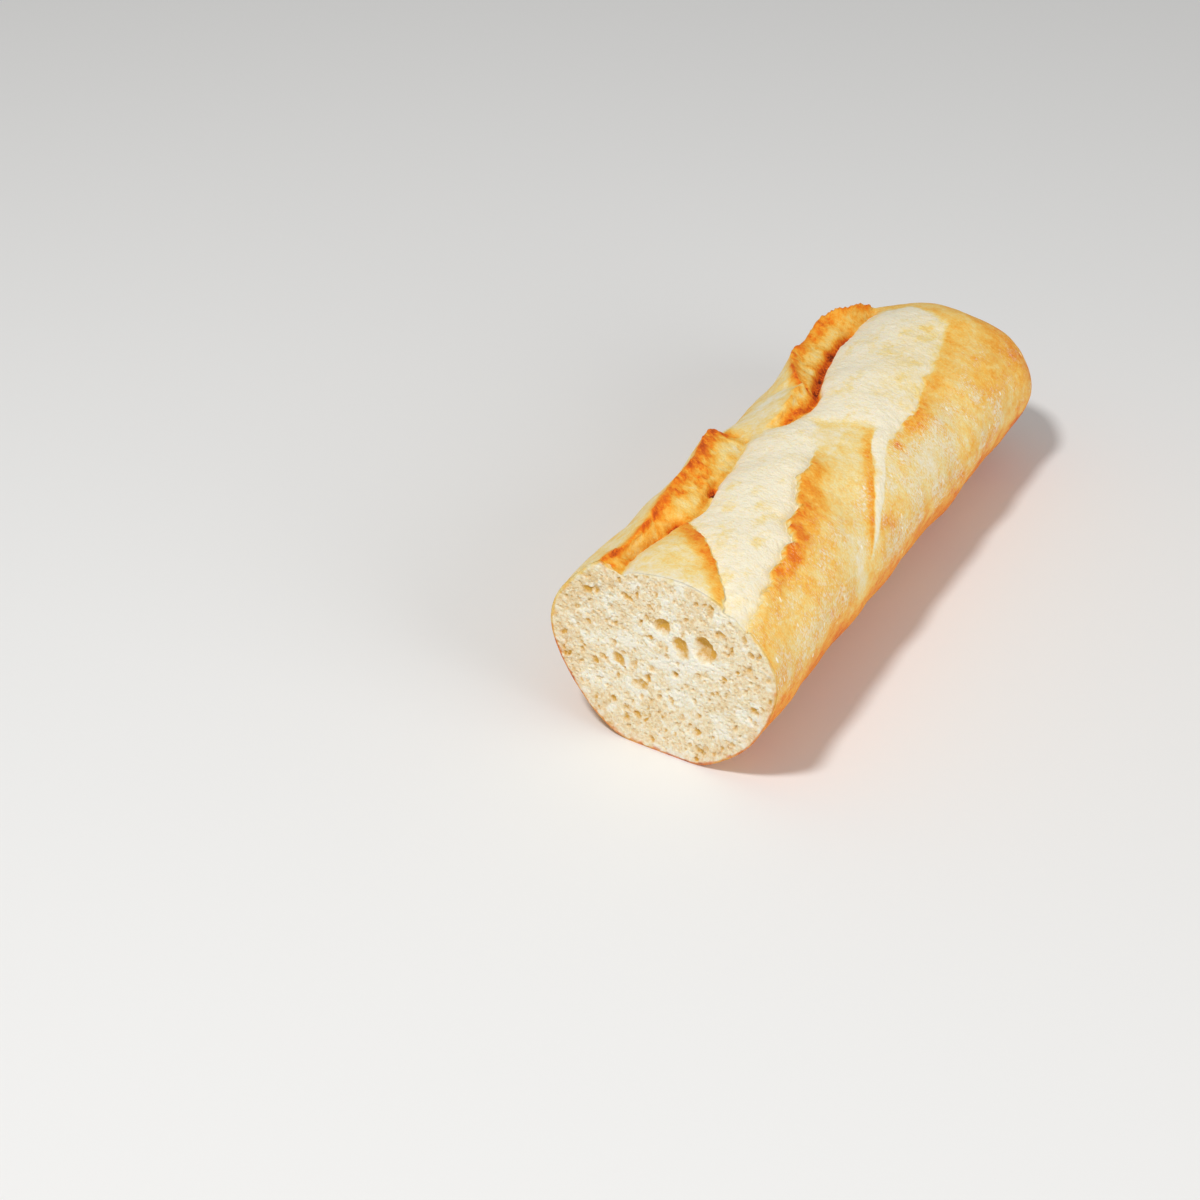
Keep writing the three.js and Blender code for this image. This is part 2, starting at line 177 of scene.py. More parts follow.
# Pores: (x, z, half width, half height, depth), and white fluffs: (x, z, half width, half height)
PORES = [
    (12.5, 36.4, 3.5, 4.2, 4.8), (5.8, 34.6, 2.7, 3.7, 2), (0.3, 39.2, 2.8, 2.6, 2.6),
    (-6.4, 19, 2.8, 2.1, 1.3), (-13.1, 24.9, 2.5, 1.6, 1.5), (-20.1, 21.8, 1.3, 1.3, 1.1),
    (-14.7, 29.5, 1.3, 1.5, 1.2), (-6.9, 9.4, 1.3, 1.3, 1), (28.1, 23.2, 1, 1.8, 1.2),
    (3.2, 17.7, 0.9, 1.6, 1), (9.9, 20.4, 1, 1.3, 1), (10.9, 10.9, 1.2, 1, 1),
    (-10.9, 44.8, 2, 0.9, 1.2), (-22.6, 43.2, 1.6, 1, 1.2), (-22.4, 33.2, 1, 1, 1),
    (-14.6, 11.8, 1, 1.1, 1),
]
LARGE_PORE = 2
FLUFFS = [
    (-1, 28.4, 5, 2.2), (6.5, 30, 5, 2.4), (15, 32.6, 4, 2), (-11.4, 31.6, 4, 2.5),
    (-18.4, 16.7, 4, 3), (5.5, 19.5, 5, 3.5),
]

# Rings of the crust's inner wall: (y, share of the section), and where that wall ends
INNER_WALL = [(0.35, 0.985), (PLUG_DEPTH, 0.85)] + [(y, 0.8) for y in np.linspace(16, LENGTH - 12, 12)]
INNER_TIP = LENGTH - 8

FLECKED_AREA = 0.012  # square metres of fully flecked crust for which the blisters are counted
LEAST_APART = 0.0007  # metres between two blisters, at least

# Stage, in millimetres from the middle of the loaf's base
CAMERA_PLACE = (259.3, -634.1, 422.1)
CAMERA_AIM = (-48.4, -44.5, 0)
LAMP_AIM = (0, 0, 20)
LAMP_DISTANCE = 1300
KEY_FROM = (-0.124, -0.489, 0.863)
KEY_SIZE = 180
FILL_FROM = (0.95, -0.25, 0.4)
FILL_SIZE = 900
FLOOR_REACH = 4000
WARM_WHITE = (1.0, 0.98, 0.95)
SKY_WHITE = (1.0, 0.985, 0.96, 1.0)


def millimetres(name, text, default, least=0.0):
    return FloatProperty(name=name, description=text + ", in mm", default=default, min=least)


def colour(name, text, default):
    return FloatVectorProperty(name=name, description=text, subtype="COLOR", size=3, default=default,
                               min=0, max=1)


class LoafSettings(PropertyGroup):
    """Fineness and relief of the crust."""

    top_step: millimetres("Top step", "Distance between columns over the slashes", 0.5, 0.2)
    side_step: millimetres("Side step", "Distance between columns on the sides", 0.75, 0.2)
    base_step: millimetres("Base step", "Distance between columns under the loaf", 2.0, 0.2)
    ring_step: millimetres("Ring step", "Distance between rings along the loaf", 0.6, 0.2)
    ragged: millimetres("Ragged edges", "How far the torn edges wander", 0.9)
    fibre_height: millimetres("Fibre height", "Height of the stretched fibres of the opened area", 0.11)
    overhang: millimetres("Overhang", "How far a lip leans over the opened area", 0.6)
    blister_size: millimetres("Blister size", "Length of a blister", 1.2, 0.1)
    blisters: IntProperty(
        name="Blisters", description="Blisters on 120 square cm of fully flecked crust", default=260, min=0)


class CrumbSettings(PropertyGroup):
    """Pores of the cut face."""

    bubble_size: millimetres("Bubble size", "Distance between the crumb's bubbles", 1.15, 0.2)
    bubble_depth: millimetres("Bubble depth", "Depth of the crumb's bubbles", 0.7)
    rise: millimetres("Rise", "How far the crumb's walls rise above the cut", 0.25)
    crust_width: millimetres("Crust width", "Width of the crust on the cut face", 0.55, 0.1)
    pore_depth: FloatProperty(
        name="Pore depth", description="Share of a large pore's depth that is modelled",
        default=0.34, min=0, max=1)
    small_pores: IntProperty(
        name="Small pores", description="Pores scattered between the large ones", default=95, min=0)
    cells: IntProperty(
        name="Cells", description="Cells across the cut face", default=300, min=20)


class ColourSettings(PropertyGroup):
    """Colours of the dough from unbaked looking to scorched, as sRGB."""

    cream: colour("Cream", "Soft dough that opened in the slashes", (0.96, 0.93, 0.835))
    straw: colour("Straw", "Palest crust", (0.955, 0.857, 0.575))
    golden: colour("Golden", "Well baked crust", (0.965, 0.765, 0.36))
    amber: colour("Amber", "Browner crust", (0.95, 0.645, 0.19))
    orange: colour("Orange", "Thin crust scorched at the lips", (0.93, 0.50, 0.09))
    rust: colour("Rust", "Scorched tips of the lips", (0.84, 0.37, 0.08))
    chestnut: colour("Chestnut", "Rims of the ears", (0.5, 0.19, 0.06))
    # In the cracks the char colour is painted shade over browner crust.
    char: colour("Char", "Depth of the cracks", (0.22, 0.09, 0.04))
    crumb: colour("Crumb", "Cut crumb", (0.973, 0.916, 0.785))
    # Pore: painted shade inside the pores and bubbles of the crumb.
    pore: colour("Pore", "Inside of the pores", (0.87, 0.67, 0.30))
    fluff: colour("Fluff", "Whitest fluffs of the crumb", (0.995, 0.972, 0.9))
    flour: colour("Flour", "Flecks and blisters", (0.98, 0.95, 0.88))
    floor: colour("Floor", "Floor under the loaf", (0.915, 0.92, 0.925))


class StageSettings(PropertyGroup):
    """Camera and lights."""

    lens: FloatProperty(name="Lens", description="Focal length for a 36 mm sensor, in mm", default=82.5)
    key_power: FloatProperty(name="Key power", description="Power of the key light, in W", default=9.2)
    fill_power: FloatProperty(
        name="Fill power", description="Power of the fill light, in W", default=6.2)
    sky: FloatProperty(name="Sky", description="Strength of the light from all round", default=0.35)


def smoothstep(low, high, value):
    part = np.clip((value - low) / (high - low), 0, 1)
    return part * part * (3 - 2 * part)


def hashed(cell, seed):
    """Repeatable numbers from 0 to 1 for whole-number cells."""
    key = cell[..., 0] * 73856093 ^ cell[..., 1] * 19349663 ^ cell[..., 2] * 83492791 ^ seed * 7919
    key = (key ^ key >> 13) * 1274126177 & 0x7FFFFFFF
    key = (key ^ key >> 16) * 668265263 & 0x7FFFFFFF
    return key / 0x7FFFFFFF


def noise(points, size, seed):
    """Smooth noise from -1 to 1 with bumps about size apart."""
    place = points / np.asarray(size, float) + 0.37 * seed
    cell = np.floor(place).astype(np.int64)
    part = place - cell
    part = part * part * part * (part * (6 * part - 15) + 10)
    total = 0.0
    for corner in itertools.product((0, 1), repeat=3):
        weight = np.prod(np.where(corner, part, 1 - part), axis=-1)
        total = total + weight * (2 * hashed(cell + np.array(corner), seed) - 1)
    return total


def fractal(points, size, seed, octaves=3):
    """Noise with finer noise on it, roughly from -1 to 1."""
    size = np.asarray(size, float)
    return sum(noise(points, size / 2 ** i, seed + 31 * i) / 2 ** i for i in range(octaves)) / 1.3


def bubbles(points, size, seed, fill, rarity=1):
    """Depth of round bubbles from 0 to 1: one in each cell of the given size, at most fill of it
    in radius, and mostly much smaller where rarity is high."""
    place = points / size
    cell = np.floor(place).astype(np.int64)
    depth = np.zeros(points.shape[:-1])
    for step in itertools.product((-1, 0, 1), repeat=3):
        near = cell + np.array(step)
        centre = near + np.stack([hashed(near, seed + i) for i in range(3)], axis=-1)
        radius = fill * (0.35 + 0.65 * hashed(near, seed + 3) ** rarity)
        apart = np.linalg.norm(place - centre, axis=-1)
        depth = np.maximum(depth, np.sqrt(np.clip(1 - (apart / radius) ** 2, 0, 1)) * radius / fill)
    return depth


def flat_points(x, y):
    return np.stack([x, y, np.zeros_like(x)], axis=-1)


def along(points, y, column=1):
    table = np.array(points, float)
    return np.interp(y, table[:, 0], table[:, column])


def stretch(y, start, end, fade):
    """1 between two distances along the loaf, fading to 0 round each of them."""
    return smoothstep(start - fade, start + fade, y) * (1 - smoothstep(end - fade, end + fade, y))


def closing(y):
    """How much of the full section is left at y: 1 along the loaf, 0 at the heel's tip."""
    into = np.clip((y - LENGTH + HEEL_ROUNDING) / HEEL_ROUNDING, 0, 1)
    return (1 - into ** HEEL_SQUARENESS) ** (1 / HEEL_SQUARENESS)


def soft_floor(z):
    """Height z held above the floor, rounded over the corner."""
    return np.where(z > BASE_ROUNDING, z, np.maximum(0, z + BASE_ROUNDING) ** 2 / (4 * BASE_ROUNDING))


def sections(y, angles):
    """Smooth sections at the distances y, a row for each: the places across and up."""
    share = np.clip(y / LENGTH, 0, 1)[:, None]
    half_width = CUT_HALF_WIDTH + (HEEL_HALF_WIDTH - CUT_HALF_WIDTH) * share
    height = CUT_HEIGHT + (HEEL_HEIGHT - CUT_HEIGHT) * share
    waist = WAIST * height
    sine, cosine = np.sin(angles), np.cos(angles)
    power = 2 / np.where(sine >= 0, TOP_SQUARENESS, BASE_SQUARENESS)
    out = np.sign(cosine) * np.abs(cosine) ** power
    up = np.abs(sine) ** power
    under = soft_floor(waist - (waist + BASE_FLATTENING) * up)
    z = np.where(sine >= 0, waist + (height - waist) * up, under)
    left = closing(y)[:, None]
    pole = POLE * waist
    return half_width * left * out, pole + (z - pole) * left ** HEEL_LIFT


def smooth_skin(y, shares):
    """Smooth loaf as a grid of points, a ring for each y and a column for each share of the way
    round, with each point's s."""
    angles = np.linspace(-math.pi / 2, 1.5 * math.pi, 721)
    across, up = sections(y, angles)
    step = np.hypot(np.diff(across), np.diff(up))
    reach = np.concatenate([np.zeros((len(y), 1)), np.cumsum(step, axis=1)], axis=1)
    points = np.empty((len(y), len(shares), 3))
    s = np.empty((len(y), len(shares)))
    for i, total in enumerate(reach[:, -1]):
        points[i, :, 0] = np.interp(shares * total, reach[i], across[i])
        points[i, :, 2] = np.interp(shares * total, reach[i], up[i])
        s[i] = total * (0.5 - shares)
    points[..., 1] = y[:, None]
    return points, s / np.maximum(closing(y), 0.2)[:, None]


def skew(points):
    """The askew cut and the slight sideways bend of the loaf."""
    share = np.clip(points[..., 1] / LENGTH, 0, 1)
    moved = points.copy()
    moved[..., 1] += (1 - share) ** 3 * points[..., 0] * math.tan(CUT_BIAS)
    moved[..., 0] += SIDEWAYS_BEND * 4 * share * (1 - share)
    return moved


def directions(points):
    """Unit directions at each point of a grid of rings: along, round towards +s, and outwards."""
    lengthwise = np.gradient(points, axis=0)
    roundwise = np.roll(points, 1, axis=1) - np.roll(points, -1, axis=1)
    outward = np.cross(roundwise, lengthwise)
    return [v / np.maximum(np.linalg.norm(v, axis=-1, keepdims=True), 1e-9)
            for v in (lengthwise, roundwise, outward)]


def flap(y, s, ear):
    """Height of an ear at (y, s), how far down its torn wall that is, the ear's own height, and how
    much further it is to there over the wall than on the flat."""
    top = along(ear.crest, y)
    height = along(ear.crest, y, 2)
    foot = np.maximum(along(ear.crack, y), top + LEAST_WALL)
    depth = CRACK_DEPTH * smoothstep(0, 2, height)
    down = (s - top) / (foot - top)
    inside = np.clip(down, 0, 1)
    wall = height - (depth + height) * inside - EAR_HOLLOW * height * inside * (1 - inside)
    back = height * np.clip(1 - (top - s) / EAR_BACK, 0, 1) ** 2
    beyond = -depth * np.exp(-np.maximum(s - foot, 0) / CRACK_WIDTH)
    longer = inside * (np.hypot(foot - top, height + depth) - (foot - top))
    return np.where(s <= top, back, np.where(s >= foot, beyond, wall)), down, height, longer


def ear_layers(ear, y, ear_y, down, height, patchy, pockets):
    """Shares of an ear's torn wall, rim, curl, darkened crack (browner crust with painted shade) and open
    crack, and the paint of its wall.
    """
    raised = smoothstep(0.3, 2, height)
    pale = ear.pale * (1 - smoothstep(*LOBE_END, y))
    wide = np.maximum(along(ear.crack, ear_y) - along(ear.crest, ear_y), LEAST_WALL)
    wall = raised * smoothstep(-0.06, 0.05, down) * (1 - smoothstep(0.95, 1.1, down))
    rim = raised * np.exp(-((down - 0.02) / 0.2) ** 2) * smoothstep(2, 12, y) * (1 - 0.6 * pale)
    curl = raised * np.exp(-((down - 0.02) / 0.3) ** 2)
    past = (down - 1) * wide
    reach = np.where(past < 0, (0.14 + 0.1 * ear.even) * wide, 0.9 + 0.8 * ear.even)
    share = raised * (0.1 + 0.9 * stretch(y, ear.open_from, ear.open_to, 4)) * (1 - 0.3 * pale)
    share *= ear.even + (1 - ear.even) * pockets
    browned_and_shaded_gap = share * np.exp(-(past / reach) ** 4)
    crack = share * np.exp(-((past - 0.2) / 1.7) ** 4)
    turned = smoothstep(0.05, 0.6, down + 0.3 * patchy)
    paint = ear.crest_bake + (ear.foot_bake - ear.crest_bake) * turned
    paint += pale * (0.38 * smoothstep(0.15, 0.85, down) - 0.16)
    # The front ear's wall is paler round y 74: partly its own paler crust, partly painted light for the lit
    # stretch beside the shaded rest of the wall.
    paint -= 0.14 * turned * np.exp(-((y - 74) / 9) ** 2)
    return np.stack([wall, rim, curl, browned_and_shaded_gap, crack]), wall * paint


def edge_of_opened(y, s):
    """Distance to the opened area's outline, positive inside, and the outline's values there."""
    nearest = np.full(y.shape, np.inf)
    values = np.zeros(y.shape + (4,))
    inside = np.zeros(y.shape, bool)
    for a, b in zip(OPENED, OPENED[1:] + OPENED[:1]):
        a, b = np.array(a, float), np.array(b, float)
        run = b[:2] - a[:2]
        part = np.clip(((y - a[0]) * run[0] + (s - a[1]) * run[1]) / (run @ run), 0, 1)
        apart = np.hypot(y - a[0] - part * run[0], s - a[1] - part * run[1])
        closer = apart < nearest
        nearest = np.where(closer, apart, nearest)
        values = np.where(closer[..., None], a[2:] + part[..., None] * (b[2:] - a[2:]), values)
        if run[1]:
            inside ^= ((a[1] > s) != (b[1] > s)) & (y < a[0] + run[0] * (s - a[1]) / run[1])
    return np.where(inside, nearest, -nearest), np.moveaxis(values, -1, 0)


def softness(y, s):
    """How gently crust turns into opened dough, from 0 at a torn lip to 1."""
    rear_right = smoothstep(122, 160, y) * smoothstep(0, 8, s)
    front_end = (1 - smoothstep(4, 24, y)) * smoothstep(12, 18, s)
    bridge = np.exp(-((y - 99.5 - 0.62 * s) / 3.5) ** 4) * smoothstep(10, 6, np.abs(s - 6))
    front_top = 0.8 * smoothstep(79, 87, y) * (1 - smoothstep(106, 111, y)) * smoothstep(10, 6, s)
    return np.maximum.reduce([rear_right, front_end, bridge, front_top])


def dough_height(edge, lip, drop):
    """Height of the lips outside the opened area's outline, and of the swollen dough inside it."""
    inside = np.maximum(edge, 0)
    fall = (lip + drop) * np.exp(-inside / LIP_FRONT) - drop * np.exp(-inside / LIP_RISE)
    dough = fall + BULGE * (1 - np.exp(-inside / BULGE_REACH))
    return np.where(edge < 0, lip * np.exp(np.minimum(edge, 0) / LIP_BACK), dough)


def swells(y, s):
    """Height of the long, low swells of the whole loaf."""
    total = 0.0
    for height, lengthwise, roundwise, phase in SWELLS:
        wave = np.sin(2 * math.pi * y / lengthwise + phase)
        total = total + height * wave * np.cos(2 * math.pi * s / roundwise - phase)
    return total


def bell(y, s, centre, long, wide):
    """1 at the centre, fading round it like a bell over the given half sizes."""
    return np.exp(-((y - centre[0]) / long) ** 2 - ((s - centre[1]) / wide) ** 2)


def spots_and_painted_light(y, s):
    """How much browner the listed patches make the crust; two pale ones are painted light."""
    return sum(amount * bell(y, s, (a, b), long, wide) for a, b, long, wide, amount in SPOTS_AND_PAINTED_LIGHT)


def crust_paint(y, s, flat):
    """How brown the plain crust is, without its lips."""
    paint = 0.23 + 0.11 * smoothstep(8, 26, s) + 0.07 * fractal(flat, 15.0, 35)
    paint += 0.05 * smoothstep(-22, -40, s)
    shift = 4.5 * fractal(flat, (5.0, 3.0, 1), 36)
    low = np.where(s > 0, smoothstep(38, 56, s + 1.3 * shift), smoothstep(34, 64, -s + 1.5 * shift))
    paint += 0.32 * low * (1 - 0.6 * smoothstep(176, 202, y)) - 0.04 * smoothstep(60, 80, np.abs(s))
    paint += 0.07 * smoothstep(150, 195, y) * smoothstep(-2, 18, s)
    paint += 0.13 * smoothstep(168, 200, y)
    paint += 0.06 * fractal(flat, (4.0, 7.0, 1), 37)
    paint -= 0.2 * np.exp(-np.maximum(y, 0) / 4) * (1 - smoothstep(14, 26, np.abs(s - 4)))
    return paint


def lip_paint(edge, scorch, scorch_reach, flat):
    """How much browner the crust is along the opened area's outline."""
    fading = np.exp(-np.abs(np.minimum(edge, 0) / scorch_reach) ** 3)
    tips = smoothstep(0.2, 0.7, fractal(flat, 2.4, 32)) * np.exp(-(edge / 1.1) ** 2)
    burn = scorch * fading * (1 + 0.28 * fractal(flat, 3.2, 31))
    return burn + 0.6 * np.clip(scorch - 0.2, 0, 1) * tips


def dough_paint(y, s, edge, scorch, flat, bent, fibres, near_cut):
    """How brown the opened dough is."""
    paint = 0.19 * smoothstep(-0.05, 1.1, fractal(bent, (6.0, 3.5, 1), 33, 4))
    paint += 0.02 * np.clip(fibres, -1, 1) + 0.06 * smoothstep(110, 140, y) * smoothstep(-8, 10, s)
    paint += 0.05 * near_cut * fractal(flat, 2.6, 34, 2)
    return paint + 1.2 * np.clip(scorch, 0, 1) * np.exp(-np.maximum(edge, 0) / 0.5)


def fleck_density(y, s, flat):
    """Where the crust carries pale flecks, from 0 to 1."""
    side = smoothstep(14, 28, s) * (1 - smoothstep(43, 51, s)) * (1 - 0.6 * smoothstep(165, 190, y))
    side *= 0.75 + 0.25 * smoothstep(50, 90, y)
    patches = smoothstep(-0.7, 0.7, fractal(flat, 7.0, 38) + 0.2 - 0.5 * smoothstep(130, 165, y))
    left = 0.5 * smoothstep(-26, -38, s) * (1 - smoothstep(-58, -72, s))
    return np.clip(side * patches + left * patches, 0, 1)


def crust_field(y, s, settings):
    """Relief, lean towards the opened area and paint of the crust at (y, s)."""
    flat = flat_points(y, s)
    drift = settings.ragged * fractal(flat, 6.0, 5)
    wander = settings.ragged * (fractal(flat, 5.0, 3) + 0.7 * fractal(flat, 1.9, 9, 2))
    wander *= 1 - 0.65 * smoothstep(21, 26, s) * stretch(y, 56, 102, 4)
    ear_y, ear_s = y + 0.5 * drift, s + 0.6 * settings.ragged * fractal(flat, 7.0, 6, 2)
    flaps = [flap(ear_y, ear_s, ear) for ear in EARS]
    over = flat + sum(longer for _, _, _, longer in flaps)[..., None] * (0, 1, 0)
    patchy = fractal(over, 5.0, 29)
    pockets = smoothstep(-0.3, 0.3, noise(over, (4.5, 3.0, 1), 26))
    layers, wall_paints = zip(*(ear_layers(ear, y, ear_y, down, height, patchy, pockets)
                                for ear, (_, down, height, _) in zip(EARS, flaps)))
    torn, rim, curl, browned_and_shaded_gap, crack = np.maximum(*layers)
    edge, (lip, drop, scorch, scorch_reach) = edge_of_opened(y + drift, s + wander)
    blur = 3.2 * softness(y, s)
    opened = smoothstep(-0.2 - blur, 0.9 + blur, edge) * (1 - torn)
    skin = (1 - opened) * (1 - torn)

    bent = flat + 1.2 * fractal(flat, 8.0, 20)[..., None] * (1, 0, 0)
    fibres = noise(bent, (0.8, 3.5, 1), 21) + 0.8 * noise(bent, (0.55, 2.0, 1), 22)
    warped = over + 0.5 * fractal(over, 2.0, 45)[..., None] * (1, 1, 0)
    sponge = bubbles(warped, 3.0, 40, 0.55, 1.5)
    gnarl = fractal(over, 3.4, 24)
    flaky = fractal(flat, (1.3, 2.2, 1), 46, 2)
    flakes = bell(y, s, NOTCH, 3.2, 3.8)
    near_cut = 1 - smoothstep(4, 30, y)

    relief = sum(height for height, _, _, _ in flaps) + dough_height(edge, lip, drop)
    felt = (1.2 + 1.2 * near_cut) * fractal(bent, 1.5, 27, 2)
    relief += opened * (settings.fibre_height * (0.5 * fibres + felt) + 0.35 * fractal(flat, 11.0, 23, 2))
    relief += torn * (1 - 0.8 * crack) * (0.45 * gnarl - 0.5 * sponge) + 0.6 * rim * fractal(flat, 4.5, 28)
    relief += skin * (0.1 * fractal(flat, 3.2, 25) - 0.12) - OPEN_CRACK_DEPTH * crack + 0.7 * flakes * flaky

    burn = lip_paint(edge, scorch, scorch_reach, flat)
    bake = skin * (crust_paint(y, s, flat) + np.where(edge < 0, burn, 0))
    bake += opened * dough_paint(y, s, edge, scorch, flat, bent, fibres, near_cut)
    bake += sum(wall_paints) + torn * (0.14 * gnarl + 0.14 * sponge - 0.05)
    # Browner and paler patches of the crust, two of them painted light.
    bake += spots_and_painted_light(y, s) * (1 - 0.35 * opened) + rim * (0.32 * skin + 0.05 + 0.07 * patchy)
    bake = np.minimum(bake - flakes * (0.55 * flaky - 0.08), 0.8)
    # Painted shade: the foot of each ear's crack is darkened towards char, over crust that is browner
    # there.
    bake += (0.93 - bake) * np.clip(0.95 * browned_and_shaded_gap, 0, 1)
    return {
        "relief": relief,
        "edge": edge,
        "lean": settings.overhang * lip * np.exp(-(np.minimum(edge, 0) / 0.9) ** 2) * (edge < 0.6),
        "curl": EAR_CURL * curl * (1 + 0.3 * patchy),
        "bake": np.clip(bake, 0, 1),
        "opened": opened,
        "torn": torn,
        "fleck": fleck_density(y, s, flat) * skin * (1 - np.clip(4 * burn, 0, 0.8)),
    }


def ring_places(step):
    straight = LENGTH - HEEL_ROUNDING
    body = np.linspace(0, straight, round(straight / step) + 1)
    angles = np.linspace(0, math.pi / 2, 52)[1:-1]
    return np.concatenate([body, straight + HEEL_ROUNDING * np.sin(angles) ** (2 / HEEL_SQUARENESS)])


def column_shares(settings):
    """Shares of the way round for the columns: close over the slashes, wider under the loaf."""
    half = smooth_skin(np.array([0.0]), np.array([0.0]))[1][0, 0]
    stretches = ((half, 64, settings.base_step), (64, 36, settings.side_step),
                 (36, -36, settings.top_step), (-36, -64, settings.side_step),
                 (-64, -half, settings.base_step))
    places = [np.linspace(a, b, max(2, round((a - b) / step)), endpoint=False)
              for a, b, step in stretches]
    return 0.5 - np.concatenate(places) / (2 * half)


def loaf_skin(settings):
    """The crust's outer surface as a grid of points, the smooth loaf under it, and its paint."""
    y = ring_places(settings.ring_step)
    base, s = smooth_skin(y, column_shares(settings))
    lengthwise, roundwise, outward = directions(base)
    along_y = np.broadcast_to(y[:, None], s.shape)
    field = crust_field(along_y, s, settings)
    left = closing(y)[:, None]
    calm = smoothstep(*CALM_BASE, base[..., 2])
    relief = (field["relief"] * left + swells(along_y, s) * np.minimum(1, 2 * left)) * calm
    relief += 0.05 * fractal(base, 3.0, 44) * (1 - calm) * (base[..., 2] > 0.3)
    slope_y = np.gradient(field["edge"], axis=0) / np.gradient(along_y, axis=0)
    slope_s = np.gradient(field["edge"], axis=1) / np.gradient(s, axis=1)
    lean = (field["lean"] * left * calm)[..., None]
    points = base + outward * relief[..., None]
    points += lean * (lengthwise * np.clip(slope_y, -1, 1)[..., None]
                      + roundwise * np.clip(slope_s, -1, 1)[..., None])
    points += roundwise * (field["curl"] * left)[..., None]
    points[0, :, 1] = 0
    points[1:, :, 1] = np.maximum(points[1:, :, 1], 0.02)
    return skew(points), skew(base), along_y, s, field


def to_frame(points):
    """Millimetres from the cut to metres in the frame, over the middle of the solid's box."""
    low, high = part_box(NODE)
    smooth, _ = smooth_skin(ring_places(2.0), np.linspace(0, 1, 120))
    outline = skew(smooth).reshape(-1, 3)
    middle = (outline.min(0) + outline.max(0)) / 2
    centre = np.array((low + high) / 2)
    shift = np.array([centre[0] / MM - middle[0], centre[1] / MM - middle[1], low.z / MM])
    return np.clip((points + shift) * MM, np.array(low), np.array(high))


def new_object(name, data):
    thing = bpy.data.objects.new(name, data)
    bpy.context.scene.collection.objects.link(thing)
    return thing


def new_piece(name, mesh):
    piece = new_object(name, mesh)
    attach(piece, "root")
    return piece


def shell_mesh(name, points, faces, material, flat_faces):
    """A smooth mesh, but for a stretch of flat faces that keeps the edge beside it crisp."""
    mesh = bpy.data.meshes.new(name)
    mesh.from_pydata(to_frame(points).tolist(), [], faces)
    mesh.materials.append(material)
    smooth = np.ones(len(mesh.polygons), bool)
    smooth[flat_faces] = False
    mesh.polygons.foreach_set("use_smooth", smooth)
    return mesh


def set_values(mesh, name, values, hidden):
    """An attribute of the mesh's first points; the hidden points after them get one value."""
    padded = np.full(len(mesh.vertices), hidden, np.float32)
    padded[:values.size] = values.reshape(-1)
    mesh.attributes.new(name, "FLOAT", "POINT").data.foreach_set("value", padded)


def grid_faces(rings, columns, first=0):
    """Quads between rings of points that run on round."""
    ring, column = np.meshgrid(np.arange(rings - 1), np.arange(columns), indexing="ij")
    a = first + ring * columns + column
    b = first + ring * columns + (column + 1) % columns
    return np.stack([a, a + columns, b + columns, b], axis=-1).reshape(-1, 4)


def srgb(value):
    """sRGB colour as a linear one with alpha."""
    part = np.array(value, float)
    linear = np.where(part <= 0.04045, part / 12.92, ((part + 0.055) / 1.055) ** 2.4)
    return (*linear, 1.0)


def add(tree, kind, inputs=(), **settings):
    """Adds a node with its settings, and fills or links its inputs by name or number."""
    node = tree.nodes.new(kind)
    for name, value in settings.items():
        setattr(node, name, value)
    for name, value in dict(inputs).items():
        if isinstance(value, bpy.types.NodeSocket):
            tree.links.new(value, node.inputs[name])
        else:
            node.inputs[name].default_value = value
    return node


def maths(tree, operation, *values, clamp=False):
    return add(tree, "ShaderNodeMath", enumerate(values), operation=operation, use_clamp=clamp).outputs[0]


def times(tree, first, second, clamp=False):
    return maths(tree, "MULTIPLY", first, second, clamp=clamp)


def added(tree, *values):
    return functools.reduce(functools.partial(maths, tree, "ADD"), values)


def swing(tree, value, amount, middle=0.5):
    """How far a value is from its middle, times an amount."""
    return times(tree, maths(tree, "SUBTRACT", value, middle), amount)


def mixed(tree, factor, first, second):
    return add(tree, "ShaderNodeMix", {0: factor, 6: first, 7: second}, data_type="RGBA").outputs[2]


def remapped(tree, value, low, high):
    return add(tree, "ShaderNodeMapRange", {0: value, 1: low, 2: high, 3: 0.0, 4: 1.0},
               interpolation_type="SMOOTHSTEP").outputs[0]


def attribute(tree, name):
    return add(tree, "ShaderNodeAttribute", attribute_name=name).outputs["Fac"]


def noise_texture(tree, vector, scale, detail=3.0, roughness=0.6, flattening=1.0, turn=0.0):
    """Noise on a pattern that is stretched across and turned."""
    place = add(tree, "ShaderNodeMapping",
                {"Vector": vector, "Rotation": (0, 0, turn), "Scale": (1, 1 / flattening, 1)},
                vector_type="TEXTURE")
    return add(tree, "ShaderNodeTexNoise", {"Vector": place.outputs[0], "Scale": scale,
                                            "Detail": detail, "Roughness": roughness}).outputs["Fac"]


def baked_colour_group(colours):
    """Colour of dough by how long it baked, from cream to char."""
    name = "Baked dough colour"
    if name in bpy.data.node_groups:
        return bpy.data.node_groups[name]
    tree = bpy.data.node_groups.new(name, "ShaderNodeTree")
    tree.interface.new_socket("Bake", in_out="INPUT", socket_type="NodeSocketFloat")
    tree.interface.new_socket("Color", in_out="OUTPUT", socket_type="NodeSocketColor")
    given, out = tree.nodes.new("NodeGroupInput").outputs, tree.nodes.new("NodeGroupOutput").inputs
    ramp = add(tree, "ShaderNodeValToRGB", {"Fac": given["Bake"]})
    stops = [(0.0, colours.cream), (0.22, colours.straw), (0.4, colours.golden), (0.56, colours.amber),
             (0.7, colours.orange), (0.81, colours.rust), (0.91, colours.chestnut), (1.0, colours.char)]
    elements = ramp.color_ramp.elements
    while len(elements) < len(stops):
        elements.new(0.5)
    for element, (place, value) in zip(elements, stops):
        element.position = place
        element.color = srgb(value)
    tree.links.new(ramp.outputs["Color"], out["Color"])
    return tree


